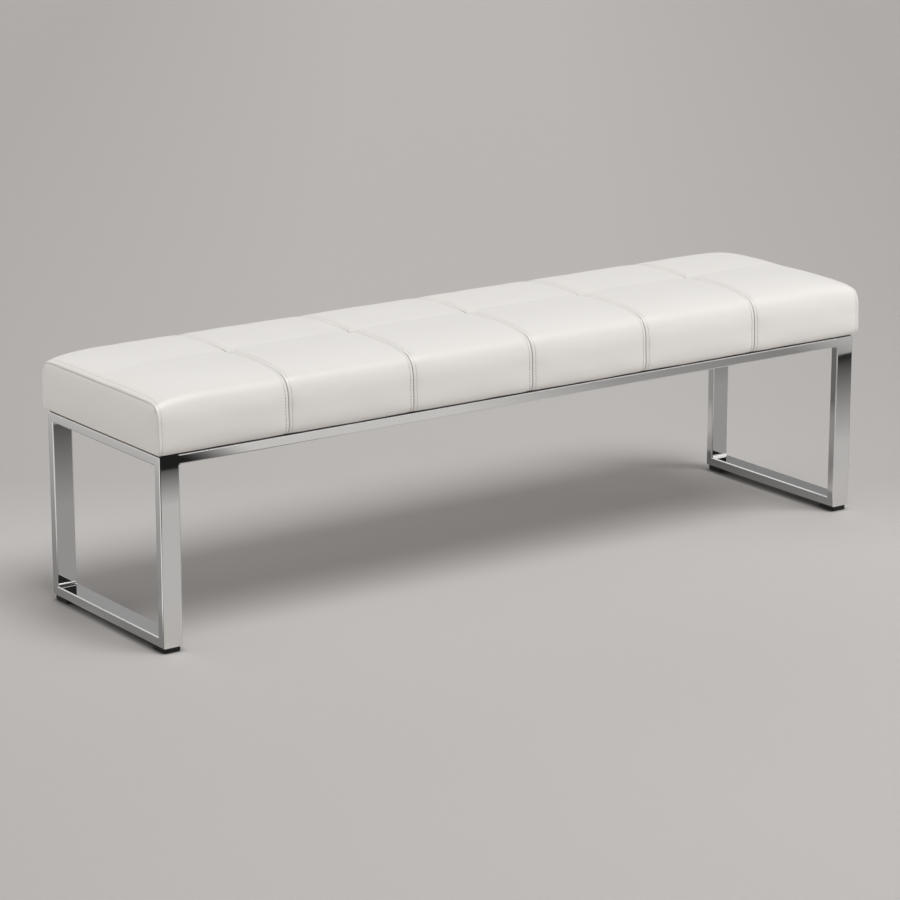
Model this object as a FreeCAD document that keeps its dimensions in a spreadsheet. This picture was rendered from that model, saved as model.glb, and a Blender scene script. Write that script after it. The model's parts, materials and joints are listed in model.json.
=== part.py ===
import FreeCAD
import Part
import Sketcher
import math
import os
import re
from types import SimpleNamespace

# Upholstered bench: a welded frame of chromed flat-sided tube under a leather seat
# whose cover is sewn from two rows of panels.
# Millimetres, +Z up, +X to the right along the bench, +Y to the back, origin on the floor under the middle.

# Driving sizes in millimetres, apart from the counts and the share
SIZES = {
    # Frame: two closed end loops joined by two rails and two cross braces
    "frame_length": 1500,
    "frame_depth": 375,
    "frame_height": 328,
    "tube_width": 38,
    "tube_thickness": 17,
    "tube_wall": 1.5,
    "tube_edge_radius": 2,
    "weld_radius": 4.5,
    "brace_spacing": 900,
    # Glides under the loops' corners, each with a stem pressed into the tube
    "glide_length": 40,
    "glide_width": 32,
    "glide_height": 10,
    "glide_inset": 3,
    "glide_corner_cut": 2.5,
    "glide_chamfer": 1.6,
    "glide_stem_diameter": 10,
    "glide_stem_length": 6,
    # Flanged bolts through the braces, and the threaded inserts in the board that take them
    "bolt_spacing": 200,
    "bolt_diameter": 6,
    "bolt_length": 34,
    "bolt_head_diameter": 11.5,
    "bolt_head_height": 4.5,
    "bolt_flange_diameter": 14,
    "bolt_flange_thickness": 1.5,
    "insert_diameter": 10,
    "insert_length": 13,
    # Seat base: dust cover below, board above
    "dust_cover_thickness": 2.5,
    "dust_cover_inset": 3,
    "board_thickness": 15,
    # Cover: heights are above the frame's top, insets and offsets are across the bench
    "panel_columns": 6,
    "cover_thickness": 4,
    "side_thickness": 8,
    "fold_thickness": 2,
    "fold_width": 36,
    "seat_overhang": 9,
    "crown_height": 115,
    "crown_offset": 75,
    "centre_dip": 5.5,
    "seam_dip": 3,
    "seam_pull": 1.5,
    "shoulder_inset": 41,
    "shoulder_drop": 6.5,
    "edge_drop": 43,
    "side_lean": 2,
    "hem_height": 20,
    "hem_tuck": 9,
    # Ends of the seat: the crown falls to a squarer edge, and a padded panel closes it
    "end_fall": 25,
    "end_fall_length": 105,
    "end_corner_length": 14,
    "end_shoulder_inset": 23,
    "end_edge_drop": 24,
    "end_crown_share": 0.2,
    "end_bulge": 4,
    "end_rim_inset": 0.5,
    "end_field_inset": 14,
    "end_hem_reach": 1,
    # Room between pieces that are fitted into each other
    "clearance": 0.3,
    "foam_clearance": 0.6,
}

# Heights that several pieces share, as expressions of the sizes
FRAME_TOP = "(glide_height + frame_height)"
FOLD_BOTTOM = f"({FRAME_TOP} + dust_cover_thickness)"
BOARD_BOTTOM = f"({FOLD_BOTTOM} + fold_thickness)"

# Places that several pieces share, as expressions of the sizes
LOOP_X = "(frame_length / 2 - tube_width / 2)"
LEG_Y = "(frame_depth / 2 - tube_thickness / 2)"
RAIL_Y = "(frame_depth / 2 - tube_width / 2)"
GLIDE_Y = "(frame_depth / 2 - glide_inset - glide_length / 2)"
BOARD_HALF_DEPTH = "(frame_depth / 2 + seat_overhang - seam_pull - side_thickness - clearance)"
BOARD_HALF_LENGTH = "(frame_length / 2 + seat_overhang - end_bulge - clearance)"
BRACE_X = "(brace_spacing / 2)"
BOLT_Y = "(bolt_spacing / 2)"
BOLT_HOLE = "(bolt_diameter + 2 * clearance)"
GLIDE_HOLE = "(glide_stem_diameter + 2 * clearance)"

# Limit for telling that two places, or a direction and an axis, are the same
SAME_PLACE = 1e-6

Vector = FreeCAD.Vector
doc = FreeCAD.newDocument("upholstered_bench")
sub_parts = []


def make_sheet():
    """The sheet of driving sizes, one alias for each."""
    sheet = doc.addObject("Spreadsheet::Sheet", "Sizes")
    for row, (alias, value) in enumerate(SIZES.items(), start=1):
        sheet.set(f"A{row}", alias.replace("_", " "))
        sheet.set(f"B{row}", str(value))
        sheet.setAlias(f"B{row}", alias)
    doc.recompute()
    return sheet


sizes_sheet = make_sheet()
size = SimpleNamespace(**{alias: float(sizes_sheet.get(alias)) for alias in SIZES})


# Helpers that bind objects to the sheet
def bind(item, target, text):
    """Drive one property or constraint by an expression of the sheet's sizes."""
    item.setExpression(target, re.sub(r"[a-z][a-z_]+", r"Sizes.\g<0>", str(text)))


def place(item, x=0, y=0, z=0):
    for axis, text in zip("xyz", (x, y, z)):
        bind(item, f"Placement.Base.{axis}", text)


def keep(item, label):
    """Name a finished sub-part."""
    item.Label = label
    sub_parts.append(item)
    return item


def new_body(label, x=0, y=0, z=0):
    body = doc.addObject("PartDesign::Body", label)
    place(body, x, y, z)
    return keep(body, label)


def new_sketch(body, name, role):
    sketch = body.newObject("Sketcher::SketchObject", name)
    plane = next(item for item in body.Origin.OriginFeatures if item.Role == role)
    sketch.AttachmentSupport = (plane, [""])
    sketch.MapMode = "FlatFace"
    return sketch


def locate(sketch, geometry, point, x, y):
    """Hold one point of a sketch at expressions of the sizes, measured from the sketch's origin."""
    for kind, text in (("DistanceX", x), ("DistanceY", y)):
        index = sketch.addConstraint(Sketcher.Constraint(kind, -1, 1, geometry, point, 1.0))
        bind(sketch, f"Constraints[{index}]", text)


def polygon(sketch, corners):
    """A closed outline through corners given as pairs of expressions."""
    first, count = sketch.GeometryCount, len(corners)
    turns = [2 * math.pi * step / count for step in range(count)]
    guesses = [Vector(math.cos(turn), math.sin(turn), 0) for turn in turns]
    for step in range(count):
        sketch.addGeometry(Part.LineSegment(guesses[step], guesses[(step + 1) % count]), False)
    for step in range(count):
        following = first + (step + 1) % count
        sketch.addConstraint(Sketcher.Constraint("Coincident", first + step, 2, following, 1))
    for step, (x, y) in enumerate(corners):
        locate(sketch, first + step, 1, x, y)


def rectangle(sketch, width, height):
    """A rectangle about the sketch's origin."""
    right, top = f"({width}) / 2", f"({height}) / 2"
    polygon(sketch, [(f"-{right}", f"-{top}"), (right, f"-{top}"), (right, top), (f"-{right}", top)])


def circle(sketch, x, y, diameter):
    index = sketch.addGeometry(Part.Circle(Vector(1, 1, 0), Vector(0, 0, 1), 1), False)
    locate(sketch, index, 3, x, y)
    wide = sketch.addConstraint(Sketcher.Constraint("Diameter", index, 2.0))
    bind(sketch, f"Constraints[{wide}]", diameter)


def pad(body, sketch, length, symmetric=False):
    feature = body.newObject("PartDesign::Pad", f"{sketch.Name}_pad")
    feature.Profile = sketch
    feature.Midplane = symmetric
    bind(feature, "Length", length)
    doc.recompute()
    return feature


def pocket(body, sketch, depth=None, upward=False):
    """A cut from the sketch's plane, through everything where no depth is given."""
    feature = body.newObject("PartDesign::Pocket", f"{sketch.Name}_pocket")
    feature.Profile = sketch
    if depth is None:
        feature.Type = "ThroughAll"
        feature.Midplane = True
    else:
        feature.Reversed = upward
        bind(feature, "Length", depth)
    doc.recompute()
    return feature


def on_border(value, low, high):
    return min(abs(value - low), abs(value - high)) < SAME_PLACE


def outer_long_edges(shape, axis):
    """Names of the outermost edges that run along one axis."""
    box = shape.BoundBox
    limits = {"x": (box.XMin, box.XMax), "y": (box.YMin, box.YMax), "z": (box.ZMin, box.ZMax)}
    names = []
    for number, edge in enumerate(shape.Edges, start=1):
        direction = edge.tangentAt(edge.FirstParameter)
        centre = edge.CenterOfMass
        across = [other for other in "xyz" if other != axis]
        outside = all(on_border(getattr(centre, other), *limits[other]) for other in across)
        if abs(getattr(direction, axis)) > 1 - SAME_PLACE and outside:
            names.append(f"Edge{number}")
    return names


def lowest_edges(shape):
    low = shape.BoundBox.ZMin
    edges = enumerate(shape.Edges, start=1)
    return [f"Edge{number}" for number, edge in edges if edge.BoundBox.ZMax - low < SAME_PLACE]


def round_edges(body, base, names, radius):
    feature = body.newObject("PartDesign::Fillet", f"{base.Name}_fillet")
    feature.Base = (base, names)
    bind(feature, "Radius", radius)
    doc.recompute()
    return feature


def bevel_edges(body, base, names, width):
    feature = body.newObject("PartDesign::Chamfer", f"{base.Name}_chamfer")
    feature.Base = (base, names)
    bind(feature, "Size", width)
    doc.recompute()
    return feature


def block(name, lengths, x, y, z):
    """A box by its three lengths and its lowest corner."""
    item = doc.addObject("Part::Box", name)
    for side, text in zip(("Length", "Width", "Height"), lengths):
        bind(item, side, text)
    place(item, x, y, z)
    return item


AXIS_TURNS = {
    "x": FreeCAD.Rotation(Vector(0, 1, 0), 90),
    "y": FreeCAD.Rotation(Vector(1, 0, 0), -90),
    "z": FreeCAD.Rotation(),
}


def rod(name, diameter, length, x, y, z, axis="z"):
    """A cylinder that starts at a point and runs along one axis."""
    item = doc.addObject("Part::Cylinder", name)
    item.Placement = FreeCAD.Placement(Vector(), AXIS_TURNS[axis])
    bind(item, "Radius", f"({diameter}) / 2")
    bind(item, "Height", length)
    place(item, x, y, z)
    return item


def cut(name, base, tool):
    item = doc.addObject("Part::Cut", name)
    item.Base, item.Tool = base, tool
    return item


def fuse(name, items):
    item = doc.addObject("Part::MultiFuse", name)
    item.Shapes = items
    return item


def group(label, items):
    """Identical small pieces that share one sub-part as separate solids."""
    item = doc.addObject("Part::Compound", label)
    item.Links = items
    return keep(item, label)


# Frame tubes
TUBE_PLANES = {"x": "YZ_Plane", "y": "XZ_Plane", "z": "XY_Plane"}


def tube(label, axis, length, x, y, z):
    """A hollow flat-sided tube along one axis, wide and thin, with eased long edges."""
    body = new_body(label, x, y, z)
    section = new_sketch(body, f"{label}_section", TUBE_PLANES[axis])
    rectangle(section, "tube_width", "tube_thickness")
    rectangle(section, "tube_width - 2 * tube_wall", "tube_thickness - 2 * tube_wall")
    base = pad(body, section, length, symmetric=True)
    round_edges(body, base, outer_long_edges(base.Shape, axis), "tube_edge_radius")
    return body


def mitre(body, axis, length, outer_side):
    """Cut both ends of a loop's tube at 45 degrees, the long side outward."""
    end, thick = f"{length} / 2", "tube_thickness / 2"
    sketch = new_sketch(body, f"{body.Name}_mitres", "YZ_Plane")
    for sign in ("", "-"):
        tip = (f"{sign}({end})", f"{outer_side}({thick})")
        corner = (f"{sign}({end})", f"-{outer_side}({thick})")
        heel = (f"{sign}({end} - tube_thickness)", f"-{outer_side}({thick})")
        corners = [tip, corner, heel]
        polygon(sketch, corners if axis == "y" else [(across, along) for along, across in corners])
    pocket(body, sketch)


def loop_bar(label, x, z, outer_side):
    body = tube(label, "y", "frame_depth", x, 0, z)
    mitre(body, "y", "frame_depth", outer_side)
    return body


def loop_leg(label, x, outer_side):
    middle = "glide_height + frame_height / 2"
    body = tube(label, "z", "frame_height", x, f"{outer_side}{LEG_Y}", middle)
    mitre(body, "z", "frame_height", outer_side)
    return body


def glide_holes(bar):
    """Holes in the lower wall of a bottom bar for the glides' stems."""
    sketch = new_sketch(bar, f"{bar.Name}_holes", "XY_Plane")
    for sign in ("", "-"):
        circle(sketch, 0, f"{sign}{GLIDE_Y}", GLIDE_HOLE)
    pocket(bar, sketch, depth="tube_thickness / 2")


def corner_weld(name, axis, length, corner, facing):
    """A concave bead in an inside corner: a square bar with its open side hollowed round."""
    radius = "weld_radius"
    lengths, low, centre = [], [], []
    for direction, start, sign in zip("xyz", corner, facing):
        if direction == axis:
            lengths.append(length)
            low.append(start)
            centre.append(start)
        else:
            lengths.append(radius)
            low.append(start if sign > 0 else f"{start} - {radius}")
            centre.append(f"{start} + {radius}" if sign > 0 else f"{start} - {radius}")
    bar = block(f"{name}_bar", lengths, *low)
    hollow = rod(f"{name}_hollow", f"2 * {radius}", length, *centre, axis=axis)
    return cut(name, bar, hollow)


def make_loop(side, x_sign):
    """One closed end loop with the beads in its four inside corners."""
    x = f"{x_sign}{LOOP_X}"
    loop_bar(f"{side}_top_bar", x, f"{FRAME_TOP} - tube_thickness / 2", "")
    bottom = loop_bar(f"{side}_bottom_bar", x, "glide_height + tube_thickness / 2", "-")
    glide_holes(bottom)
    loop_leg(f"{side}_front_leg", x, "-")
    loop_leg(f"{side}_rear_leg", x, "")
    beads = []
    bead_length = "tube_width - 2 * tube_edge_radius"
    start = f"{x} - tube_width / 2 + tube_edge_radius"
    for y_sign, inward in (("-", 1), ("", -1)):
        y = f"{y_sign}(frame_depth / 2 - tube_thickness)"
        for level, z, upward in (
            ("low", "glide_height + tube_thickness", 1),
            ("high", f"{FRAME_TOP} - tube_thickness", -1),
        ):
            name = f"{side}_{'front' if inward > 0 else 'rear'}_{level}_bead"
            beads.append(corner_weld(name, "x", bead_length, (start, y, z), (0, inward, upward)))
    group(f"{side}_loop_welds", beads)


def rail_end_welds():
    """Beads under the rails' ends, and strips that fill the eased edges beside each joint."""
    beads = []
    radius = "tube_edge_radius"
    for row, y_sign in (("front", "-"), ("rear", "")):
        for side, x_sign in (("left", "-"), ("right", "")):
            name = f"{side}_{row}_rail"
            x = f"{x_sign}(frame_length / 2 - tube_width)"
            face = f"{y_sign}(frame_depth / 2)"
            underside = f"{FRAME_TOP} - tube_thickness"
            inset = f"{face} + {radius}" if y_sign else f"{face} - tube_thickness + {radius}"
            toward_middle = 1 if x_sign else -1
            length = f"tube_thickness - 2 * {radius}"
            beads.append(
                corner_weld(f"{name}_bead", "y", length, (x, inset, underside), (toward_middle, 0, -1))
            )
            # The strip fills the corner between the leg's rounded edge and the rail's end
            low_x = f"{x} - {radius}" if x_sign else x
            low_y = face if y_sign else f"{face} - {radius}"
            centre_x = f"{x} - {radius}" if x_sign else f"{x} + {radius}"
            centre_y = f"{face} + {radius}" if y_sign else f"{face} - {radius}"
            height = "tube_thickness - tube_edge_radius"
            bar = block(f"{name}_strip_bar", (radius, radius, height), low_x, low_y, underside)
            hollow = rod(f"{name}_strip_hollow", f"2 * {radius}", height, centre_x, centre_y, underside)
            beads.append(cut(f"{name}_strip", bar, hollow))
    group("rail_welds", beads)


def make_frame():
    make_loop("left", "-")
    make_loop("right", "")
    level = f"{FRAME_TOP} - tube_thickness / 2"
    rail_length = "frame_length - 2 * tube_width"
    tube("front_rail", "x", rail_length, 0, f"-{RAIL_Y}", level)
    tube("rear_rail", "x", rail_length, 0, RAIL_Y, level)
    brace_length = "frame_depth - 2 * tube_width"
    for label, x in (("left_brace", f"-{BRACE_X}"), ("right_brace", BRACE_X)):
        brace = tube(label, "y", brace_length, x, 0, level)
        holes = new_sketch(brace, f"{label}_holes", "XY_Plane")
        for y in (f"-{BOLT_Y}", BOLT_Y):
            circle(holes, 0, y, BOLT_HOLE)
        pocket(brace, holes)
    rail_end_welds()


# Places of the bolts along and across the bench
BOLT_PLACES = [(x, y) for x in (f"-{BRACE_X}", BRACE_X) for y in (f"-{BOLT_Y}", BOLT_Y)]


def make_fasteners():
    """Flanged bolts with hexagon heads under the braces, and inserts in the board for them."""
    bolts, inserts = [], []
    seat_z = f"{FRAME_TOP} - tube_thickness"
    flange_z = f"{seat_z} - bolt_flange_thickness"
    for number, (x, y) in enumerate(BOLT_PLACES, start=1):
        head = doc.addObject("Part::Prism", f"bolt_{number}_head")
        bind(head, "Circumradius", "bolt_head_diameter / 2")
        bind(head, "Height", "bolt_head_height")
        place(head, x, y, f"{flange_z} - bolt_head_height")
        name = f"bolt_{number}_flange"
        flange = rod(name, "bolt_flange_diameter", "bolt_flange_thickness", x, y, flange_z)
        shank = rod(f"bolt_{number}_shank", "bolt_diameter", "bolt_length", x, y, seat_z)
        bolts.append(fuse(f"bolt_{number}", [head, flange, shank]))

        name = f"insert_{number}"
        barrel = rod(f"{name}_barrel", "insert_diameter", "insert_length", x, y, BOARD_BOTTOM)
        bore = "bolt_diameter + clearance"
        thread = rod(f"{name}_thread", bore, "insert_length", x, y, BOARD_BOTTOM)
        inserts.append(cut(name, barrel, thread))
    group("seat_bolts", bolts)
    group("board_inserts", inserts)


def make_glides():
    """Black glides with cut corners and bevelled lower edges, on stems that fill the holes in the bars."""
    for side, x_sign in (("left", "-"), ("right", "")):
        for row, y_sign in (("front", "-"), ("rear", "")):
            name = f"{side}_{row}_glide"
            body = new_body(name, f"{x_sign}{LOOP_X}", f"{y_sign}{GLIDE_Y}", 0)
            outline = new_sketch(body, f"{name}_outline", "XY_Plane")
            rectangle(outline, "glide_width", "glide_length")
            base = pad(body, outline, "glide_height")
            base = bevel_edges(body, base, outer_long_edges(base.Shape, "z"), "glide_corner_cut")
            bevel_edges(body, base, lowest_edges(base.Shape), "glide_chamfer")
            stem = new_sketch(body, f"{name}_stem", "XY_Plane")
            bind(stem, "AttachmentOffset.Base.z", "glide_height")
            circle(stem, 0, 0, "glide_stem_diameter")
            pad(body, stem, "glide_stem_length")


def make_board():
    """Plywood base, drilled for the threaded inserts."""
    body = new_body("base_board", 0, 0, BOARD_BOTTOM)
    outline = new_sketch(body, "board_outline", "XY_Plane")
    rectangle(outline, f"2 * {BOARD_HALF_LENGTH}", f"2 * {BOARD_HALF_DEPTH}")
    for x, y in BOLT_PLACES:
        circle(outline, x, y, "insert_diameter + 2 * clearance")
    pad(body, outline, "board_thickness")


def make_dust_cover():
    """Black cloth with a turned hem under the whole seat, on top of the frame."""
    body = new_body("dust_cover", 0, 0, FRAME_TOP)
    outline = new_sketch(body, "dust_cover_outline", "XY_Plane")
    rectangle(outline, "frame_length - 2 * dust_cover_inset", "frame_depth - 2 * dust_cover_inset")
    for x, y in BOLT_PLACES:
        circle(outline, x, y, BOLT_HOLE)
    pad(body, outline, "dust_cover_thickness")


# Seat cover and foam: sections across the bench, lofted along it.
# A section's points are (distance from the middle, height above the floor).
frame_top = size.glide_height + size.frame_height
fold_bottom = frame_top + size.dust_cover_thickness
board_bottom = fold_bottom + size.fold_thickness
board_top = board_bottom + size.board_thickness
half_depth = size.frame_depth / 2 + size.seat_overhang
end_seam = size.frame_length / 2 + size.seat_overhang - size.end_bulge
panel_length = 2 * end_seam / size.panel_columns


def mix(low, high, share):
    return low + (high - low) * share


def fallen(distance):
    """Share of the full crown at a distance from the end seam: a quarter of an ellipse."""
    rest = max(0.0, 1.0 - max(0.0, distance) / size.end_fall_length)
    return math.sqrt(1.0 - rest * rest)


def crown_top(distance):
    """Height of the crown between the seams."""
    return frame_top + size.crown_height - size.end_fall * (1 - fallen(distance))


def round_middle(start, end):
    """Middle of a quarter round that leaves start level and reaches end upright."""
    slant = math.sqrt(0.5)
    return (mix(start[0], end[0], slant), mix(end[1], start[1], slant))


def outer_top(distance, swell):
    """Half depth and top of the cover: centre seam, crown, shoulder and the edge where the side begins.

    distance is from the end seam; swell is 0 on a cross seam and 1 between seams.
    """
    half = half_depth - size.seam_pull * (1 - swell)
    peak = crown_top(distance) - size.seam_dip * (1 - swell)
    opened = min(1.0, distance / size.end_corner_length)
    curve = mix(size.end_crown_share, 1.0, opened)
    inset = mix(size.end_shoulder_inset, size.shoulder_inset, opened)
    drop = mix(size.end_edge_drop, size.edge_drop, opened)
    centre = (0.0, peak - size.centre_dip * curve)
    crown = (size.crown_offset, peak)
    shoulder = (half - inset, peak - size.shoulder_drop * curve)
    edge = (half - size.side_lean, peak - drop)
    return half, centre, crown, shoulder, edge


def inner_top(distance, room):
    """Half depth and top of the foam's form, under the cover; room draws it in further."""
    half = half_depth - size.seam_pull - size.side_thickness - room
    under = size.seam_dip + size.cover_thickness + room
    peak = crown_top(distance) - under
    centre = (0.0, peak - size.centre_dip)
    crown = (size.crown_offset, peak)
    shoulder = (half - size.shoulder_inset, peak - size.shoulder_drop)
    edge = (half, peak - size.edge_drop)
    return half, centre, crown, shoulder, edge


def wire_through(runs, x, side):
    """A closed wire from runs of points: two points make a line and three an arc."""
    edges = []
    for run in runs:
        spots = [Vector(x, side * across, height) for across, height in run]
        curve = Part.LineSegment(*spots) if len(spots) == 2 else Part.Arc(*spots)
        edges.append(curve.toShape())
    return Part.Wire(edges)


def hem_points(half, bottom):
    """The foot of the side: the hem, and where it is tucked in to the bottom."""
    return (half, frame_top + size.hem_height), (half - size.hem_tuck, bottom)


def panel_section(x, side, distance, swell):
    """One side of the seat in outline: over the crown, down the side and under the fold."""
    half, centre, crown, shoulder, edge = outer_top(distance, swell)
    hem, tuck = hem_points(half, fold_bottom)
    fold_end = half_depth - size.seam_pull - size.fold_width
    runs = [
        (centre, crown, shoulder),
        (shoulder, round_middle(shoulder, edge), edge),
        (edge, hem),
        (hem, round_middle(tuck, hem), tuck),
        (tuck, (fold_end, fold_bottom)),
        ((fold_end, fold_bottom), (fold_end, board_bottom)),
        ((fold_end, board_bottom), (0.0, board_bottom)),
        ((0.0, board_bottom), centre),
    ]
    return wire_through(runs, x, side)


def swell_at(along, first, last):
    """How far a panel stands out: drawn in at its cross seams, but not at an end seam."""
    drawn_in = (along == 0.0 and not first) or (along == panel_length and not last)
    return 0.0 if drawn_in else 1.0


# Where a panel's sections lie: a share of its length in from a cross seam,
# and a share of the fall's length in from an end seam
SEAM_STEP = 0.16
FALL_STEP = 0.38


def end_distances():
    """Places of the sections between an end seam and the full crown."""
    return [0.0, size.end_corner_length, FALL_STEP * size.end_fall_length, size.end_fall_length]


def panel_places(first, last):
    """Places of the sections along one panel, from its left seam."""
    near, far = SEAM_STEP * panel_length, (1 - SEAM_STEP) * panel_length
    if first:
        return [*end_distances(), far, panel_length]
    if last:
        return [0.0, near, *(panel_length - away for away in reversed(end_distances()))]
    return [0.0, near, far, panel_length]


def mirrored(runs):
    """The same runs on the other side of the middle, in an order that goes on from the first side."""
    return [tuple((-across, height) for across, height in reversed(run)) for run in reversed(runs)]


def foam_section(x, distance, room, bottom):
    """A closed section of the foam's form, with bevelled edges and a flat bottom."""
    half, centre, crown, shoulder, edge = inner_top(distance, room)
    runs = [(centre, crown), (crown, shoulder), (shoulder, edge), (edge, (half, bottom))]
    floor = ((half, bottom), (-half, bottom))
    return wire_through([*runs, floor, *mirrored(runs)], x, 1)


def end_section(x, inset):
    """A closed outline of an end panel: the cover's own outline at the end seam, drawn in all round."""
    half, centre, crown, shoulder, edge = outer_top(0.0, 1.0)
    half, centre, crown = half - inset, (0.0, centre[1] - inset), (crown[0], crown[1] - inset)
    shoulder, edge = (shoulder[0] - inset, shoulder[1] - inset), (edge[0] - inset, edge[1] - inset)
    hem, tuck = hem_points(half, fold_bottom + inset)
    corner = (shoulder, round_middle(shoulder, edge), edge)
    runs = [(centre, crown, shoulder), corner, (edge, hem), (hem, tuck)]
    floor = (tuck, (-tuck[0], tuck[1]))
    return wire_through([*runs, floor, *mirrored(runs)], x, 1)


def crowned_block(room, bottom):
    """What the cover wraps: straight along the middle of the bench and falling away to both end seams."""
    ends = []
    for side in (-1, 1):
        wires = [foam_section(side * (end_seam - away), away, room, bottom) for away in end_distances()]
        ends.append(Part.makeLoft(wires, True, True))
    middle_half = end_seam - size.end_fall_length
    section = foam_section(-middle_half, size.end_fall_length, room, bottom)
    middle = Part.Face(section).extrude(Vector(2 * middle_half, 0, 0))
    return middle.fuse(ends).removeSplitter()


def make_panels():
    """Two rows of panels that meet on the centre seam and on the cross seams."""
    columns = int(size.panel_columns)
    hollow = crowned_block(0.0, board_bottom)
    for row, side in (("front", -1), ("rear", 1)):
        for column in range(columns):
            first, last = column == 0, column == columns - 1
            wires = []
            for along in panel_places(first, last):
                x = -end_seam + column * panel_length + along
                wires.append(panel_section(x, side, end_seam - abs(x), swell_at(along, first, last)))
            panel = doc.addObject("Part::Feature", f"{row}_panel_{column + 1}")
            panel.Shape = Part.makeLoft(wires, True, True).cut(hollow)
            keep(panel, f"{row}_panel_{column + 1}")


def make_end_panels():
    """Padded end panels sewn on the rims of the top panels, each with a fold under the board."""
    steps = [(0.0, size.end_rim_inset), (size.end_bulge, size.end_field_inset)]
    fold_half = half_depth - size.seam_pull - size.fold_width - size.clearance
    fold_length = size.fold_width + size.end_hem_reach
    for name, side in (("left_end_panel", -1), ("right_end_panel", 1)):
        wires = [end_section(side * (end_seam + outward), inset) for outward, inset in steps]
        fold = Part.makeBox(fold_length, 2 * fold_half, size.fold_thickness)
        fold_start = end_seam - size.fold_width if side > 0 else -end_seam - size.end_hem_reach
        fold.translate(Vector(fold_start, -fold_half, fold_bottom))
        panel = doc.addObject("Part::Feature", name)
        panel.Shape = Part.makeLoft(wires, True, True).fuse(fold).removeSplitter()
        keep(panel, name)


def make_foam():
    """One block of foam on the board, between the end panels."""
    length = 2 * (end_seam - size.clearance)
    slab = Part.makeBox(length, 2 * half_depth, size.crown_height)
    slab.translate(Vector(-length / 2, -half_depth, board_top))
    foam = doc.addObject("Part::Feature", "foam_core")
    foam.Shape = crowned_block(size.foam_clearance, board_top).common(slab)
    keep(foam, "foam_core")


def check_and_write():
    """Stop on any failed object, then write one file for each sub-part."""
    doc.recompute()
    for item in doc.Objects:
        if "Invalid" in item.State or "Error" in item.State:
            raise RuntimeError(f"{item.Label} failed: {item.State}")
    for item in sub_parts:
        if item.Shape.isNull() or not item.Shape.isValid() or not item.Shape.Solids:
            raise RuntimeError(f"{item.Label} has no valid solid")
    os.makedirs("parts", exist_ok=True)
    for item in sub_parts:
        item.Shape.exportStep(f"parts/{item.Label}.step")
    print(f"{len(sub_parts)} sub-parts written")


make_frame()
make_glides()
make_board()
make_dust_cover()
make_fasteners()
make_foam()
make_panels()
make_end_panels()
check_and_write()
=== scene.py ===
import json
import math

import bpy
import numpy as np
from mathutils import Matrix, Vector


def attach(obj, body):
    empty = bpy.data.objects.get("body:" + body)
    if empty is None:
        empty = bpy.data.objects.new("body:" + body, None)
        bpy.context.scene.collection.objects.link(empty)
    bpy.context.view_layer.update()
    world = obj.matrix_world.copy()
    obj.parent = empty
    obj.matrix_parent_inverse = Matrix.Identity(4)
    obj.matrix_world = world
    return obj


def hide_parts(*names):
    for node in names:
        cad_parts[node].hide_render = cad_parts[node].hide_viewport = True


# Upholstered bench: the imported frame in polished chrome, under a seat rebuilt as sewn and padded leather.
# Forms are worked out in millimetres in the model's own frame and written to meshes in metres.
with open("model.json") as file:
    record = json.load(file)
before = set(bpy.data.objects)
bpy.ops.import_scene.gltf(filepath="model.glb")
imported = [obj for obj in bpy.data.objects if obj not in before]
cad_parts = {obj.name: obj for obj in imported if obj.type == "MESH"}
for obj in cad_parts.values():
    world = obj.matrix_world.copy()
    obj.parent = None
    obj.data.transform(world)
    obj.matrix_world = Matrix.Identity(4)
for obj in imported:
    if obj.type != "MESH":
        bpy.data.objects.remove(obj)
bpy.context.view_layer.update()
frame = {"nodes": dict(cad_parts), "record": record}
MM = 0.001
random = np.random.default_rng(41)

# Seat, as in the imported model
COLUMNS = 6
END_SEAM = 755.0
PANEL_LENGTH = 2 * END_SEAM / COLUMNS
HALF_DEPTH = 196.5
FRAME_TOP = 338.0
FOLD_BOTTOM = 340.5
BOARD_TOP = 357.5
CROWN_TOP = 453.0
CROWN_OFFSET = 75.0
CENTRE_DIP = 5.5
SEAM_DIP = 3.0
SEAM_PULL = 1.5
SHOULDER_INSET = 41.0
SHOULDER_DROP = 6.5
EDGE_DROP = 43.0
SIDE_LEAN = 2.0
HEM_HEIGHT = 20.0
HEM_TUCK = 9.0
FOLD_END = 159.0
END_FALL = 25.0
END_FALL_LENGTH = 105.0
END_SHOULDER_INSET = 23.0
END_EDGE_DROP = 24.0
END_CROWN_SHARE = 0.2
END_CORNER_RADIUS = 1.5
END_BULGE = 3.0
END_FIELD_INSET = 40.0
END_TUCK = 5.0
END_TUCK_HEIGHT = 2.0
END_TUCK_SPREAD = 12.0
END_PANEL_SIZE = (385.0, 92.0)

# Frame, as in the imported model
FRAME_HALF_LENGTH = 750.0
FRAME_HALF_DEPTH = 187.5
TUBE_WIDTH = 38.0
BRACE_PLACE = 450.0
BOLT_PLACE = 100.0

# Inside and underside of the seat
COVER_THICKNESS = 3.0
FOLD_REACH = 36.0
FOLD_RISE = 0.4
FOLD_GAP = 1.0
FOAM_HALF_DEPTH = 186.4
FOAM_GAP = 1.6
DUST_INSET = 3.0
DUST_MARGIN = 4.0
DUST_STEP = 10.0
DUST_THICKNESS = 0.8
DUST_LIFT = 0.7
DUST_SAG = 2.4
DUST_BEND = 0.4
DUST_GAP = 0.2
BOLT_CLEARANCE = 6.0

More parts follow.
